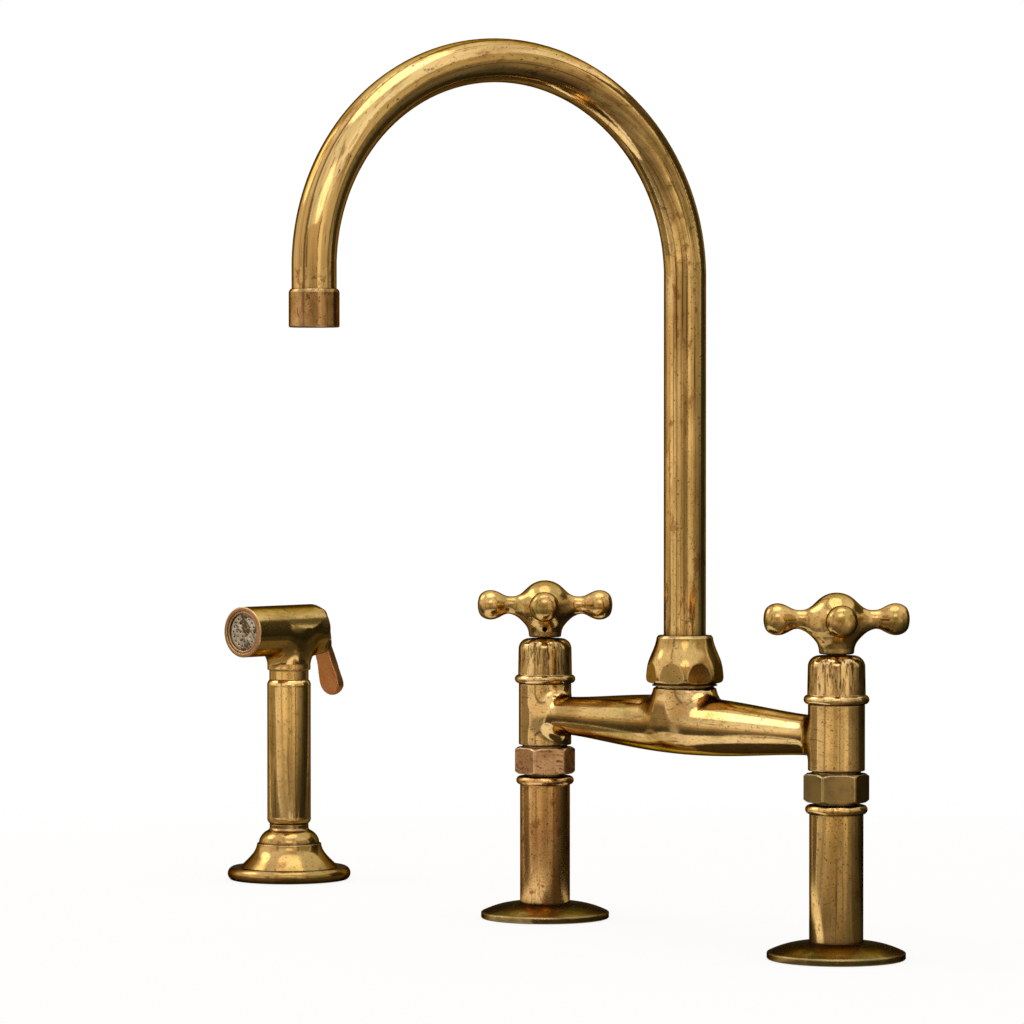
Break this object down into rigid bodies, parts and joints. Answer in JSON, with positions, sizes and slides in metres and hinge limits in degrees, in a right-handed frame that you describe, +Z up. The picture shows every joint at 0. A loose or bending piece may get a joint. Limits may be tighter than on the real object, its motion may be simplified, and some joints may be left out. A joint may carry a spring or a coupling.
{
  "type": "bridge kitchen faucet",
  "caption": "Bridge kitchen faucet in aged unlacquered brass: cross handles on deck legs, a turned bridge with a swivelling gooseneck spout, and a separate pull-out side spray.",
  "frame": {"origin": "on the deck plane, midway between the two legs", "axes": "+X along the bridge from the hot leg to the cold leg, the spout reaches towards -Y, +Z up"},
  "size_m": [0.4851, 0.2568, 0.4579],
  "materials": {
    "aged_brass": "unlacquered polished brass, tarnished with use",
    "dark_brass": "unlacquered brass gone dark olive",
    "copper_brass": "unlacquered brass tarnished to a copper tone",
    "plain_brass": "turned brass",
    "steel": "stainless",
    "black_rubber": "matt moulded",
    "nylon": "natural nylon",
    "alumina": "lapped ceramic"
  },
  "bodies": {
    "faucet_body": {"bridge_body": "aged_brass", "left_pillar": "aged_brass", "left_flange": "aged_brass", "left_union_nut": "aged_brass", "left_union_washer": "black_rubber", "left_deck_gasket": "black_rubber", "left_fixing_washer": "steel", "left_backnut": "plain_brass", "left_cartridge": "plain_brass", "left_seat_seal": "black_rubber", "left_fixed_disc": "alumina", "left_bonnet": "aged_brass", "right_pillar": "aged_brass", "right_flange": "aged_brass", "right_union_nut": "aged_brass", "right_union_washer": "black_rubber", "right_deck_gasket": "black_rubber", "right_fixing_washer": "steel", "right_backnut": "plain_brass", "right_cartridge": "plain_brass", "right_seat_seal": "black_rubber", "right_fixed_disc": "alumina", "right_bonnet": "aged_brass", "spout_nut": "aged_brass", "spout_bush": "nylon", "spray_holder": "aged_brass", "holder_bush": "nylon", "holder_gasket": "black_rubber", "holder_backnut": "plain_brass"},
    "spout": {"spout_tube": "aged_brass", "spout_spigot": "plain_brass", "spout_seals": "black_rubber", "outlet_ring": "aged_brass", "aerator": "steel", "aerator_washer": "black_rubber"},
    "left_tap": {"left_handle": "aged_brass", "left_grub_screw": "steel", "left_spindle": "plain_brass", "left_spindle_seal": "black_rubber", "left_moving_disc": "alumina"},
    "right_tap": {"right_handle": "aged_brass", "right_grub_screw": "steel", "right_spindle": "plain_brass", "right_spindle_seal": "black_rubber", "right_moving_disc": "alumina"},
    "spray_ferrule": {"hose_ferrule": "aged_brass", "swivel_seal": "black_rubber", "swivel_clip": "steel"},
    "handset": {"spray_grip": "aged_brass", "grip_seal": "black_rubber", "spray_head": "dark_brass", "rose_ring": "dark_brass", "rose_plate": "steel", "rose_seal": "black_rubber", "valve_seat": "plain_brass", "trigger_pin": "steel", "valve_spring": "steel"},
    "trigger": {"trigger_lever": "copper_brass"},
    "spray_valve": {"valve_stem": "plain_brass", "valve_washer": "black_rubber"}
  },
  "joints": [
    {"name": "spout_swivel", "type": "hinge", "parent": "faucet_body", "child": "spout", "pos_m": [0, 0, 0.116], "axis": [0, 0, 1], "continuous": true},
    {"name": "left_valve", "type": "hinge", "parent": "faucet_body", "child": "left_tap", "pos_m": [-0.1016, 0, 0.1465], "axis": [0, 0, 1], "range_deg": [0, 90]},
    {"name": "right_valve", "type": "hinge", "parent": "faucet_body", "child": "right_tap", "pos_m": [0.1016, 0, 0.1465], "axis": [0, 0, 1], "range_deg": [-90, 0]},
    {"name": "sprayer_lift", "type": "slide", "parent": "faucet_body", "child": "spray_ferrule", "axis": [0, 0, 1], "range_m": [0, 0.06]},
    {"name": "handset_swivel", "type": "hinge", "parent": "spray_ferrule", "child": "handset", "pos_m": [-0.3222, 0.0075, 0.036], "axis": [0, 0, 1], "continuous": true},
    {"name": "trigger_pull", "type": "hinge", "parent": "handset", "child": "trigger", "pos_m": [-0.3269, 0.02961, 0.1225], "axis": [-0.9781, -0.2079, 0], "range_deg": [0, 10], "stiffness_Nm_per_rad": 0.5, "springref_deg": -5.73},
    {"name": "valve_push", "type": "slide", "parent": "handset", "child": "spray_valve", "axis": [0.2079, -0.9781, 0], "range_m": [0, 0.0008], "deforming": ["valve_spring"]}
  ],
  "couplings": [
    {"joint": "valve_push", "follows": "trigger_pull", "m_per_rad": 0.0043}
  ]
}
